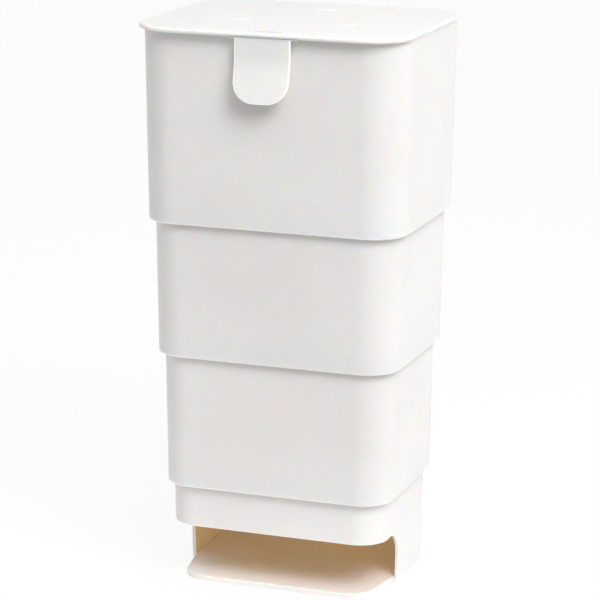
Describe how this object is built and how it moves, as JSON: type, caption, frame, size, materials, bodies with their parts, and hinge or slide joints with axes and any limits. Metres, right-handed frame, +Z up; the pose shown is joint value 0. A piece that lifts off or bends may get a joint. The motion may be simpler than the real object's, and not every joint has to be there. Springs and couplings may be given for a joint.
{
  "type": "hand-pressed trash compactor",
  "caption": "Tall white hand-pressed box of nested telescoping stages with a hinged lid, pull tab, and an open front mouth over a floor tray.",
  "frame": {"origin": "centre of the upright footprint's bounding box, on the surface the part stands on", "axes": "+Z up, towards the lid; -Y towards the pull tab and the front mouth; +X to the right seen from the front"},
  "size_m": [0.183, 0.1556, 0.3746],
  "materials": {
    "shell_moulding": "satin white moulded polypropylene",
    "lid_moulding": "satin white moulded polypropylene",
    "tab_moulding": "satin white moulded polypropylene",
    "floor_moulding": "satin white moulded polypropylene",
    "slide_pad_rubber": "matt moulded silicone rubber",
    "foot_rubber": "matt die-cut rubber",
    "hinge_pin_steel": "drawn stainless wire"
  },
  "bodies": {
    "base": {"base_shell": "shell_moulding", "floor_plate": "floor_moulding", "foot_pad_front_left": "foot_rubber", "foot_pad_front_right": "foot_rubber", "foot_pad_rear_left": "foot_rubber", "foot_pad_rear_right": "foot_rubber", "base_slide_pad_back": "slide_pad_rubber", "base_slide_pad_front": "slide_pad_rubber", "base_slide_pad_left": "slide_pad_rubber", "base_slide_pad_right": "slide_pad_rubber"},
    "lower_stage": {"lower_shell": "shell_moulding", "lower_slide_pad_back": "slide_pad_rubber", "lower_slide_pad_front": "slide_pad_rubber", "lower_slide_pad_left": "slide_pad_rubber", "lower_slide_pad_right": "slide_pad_rubber"},
    "middle_stage": {"middle_shell": "shell_moulding", "middle_slide_pad_back": "slide_pad_rubber", "middle_slide_pad_front": "slide_pad_rubber", "middle_slide_pad_left": "slide_pad_rubber", "middle_slide_pad_right": "slide_pad_rubber"},
    "upper_stage": {"upper_shell": "shell_moulding", "hinge_pin_left": "hinge_pin_steel", "hinge_pin_right": "hinge_pin_steel"},
    "lid": {"lid_panel": "lid_moulding"},
    "latch": {"pull_tab": "tab_moulding"}
  },
  "joints": [
    {"name": "lower_slide", "type": "slide", "parent": "base", "child": "lower_stage", "axis": [0, 0, 1], "range_m": [-0.0664, 0]},
    {"name": "middle_slide", "type": "slide", "parent": "lower_stage", "child": "middle_stage", "axis": [0, 0, 1], "range_m": [-0.0897, 0]},
    {"name": "upper_slide", "type": "slide", "parent": "middle_stage", "child": "upper_stage", "axis": [0, 0, 1], "range_m": [-0.0899, 0]},
    {"name": "lid_hinge", "type": "hinge", "parent": "upper_stage", "child": "lid", "pos_m": [0, 0.07438, 0.3673], "axis": [-1, 0, 0], "range_deg": [0, 105]},
    {"name": "tab_flex", "type": "hinge", "parent": "lid", "child": "latch", "pos_m": [0, -0.07212, 0.37165], "axis": [-1, 0, 0], "range_deg": [0, 6], "stiffness_Nm_per_rad": 1.5}
  ]
}
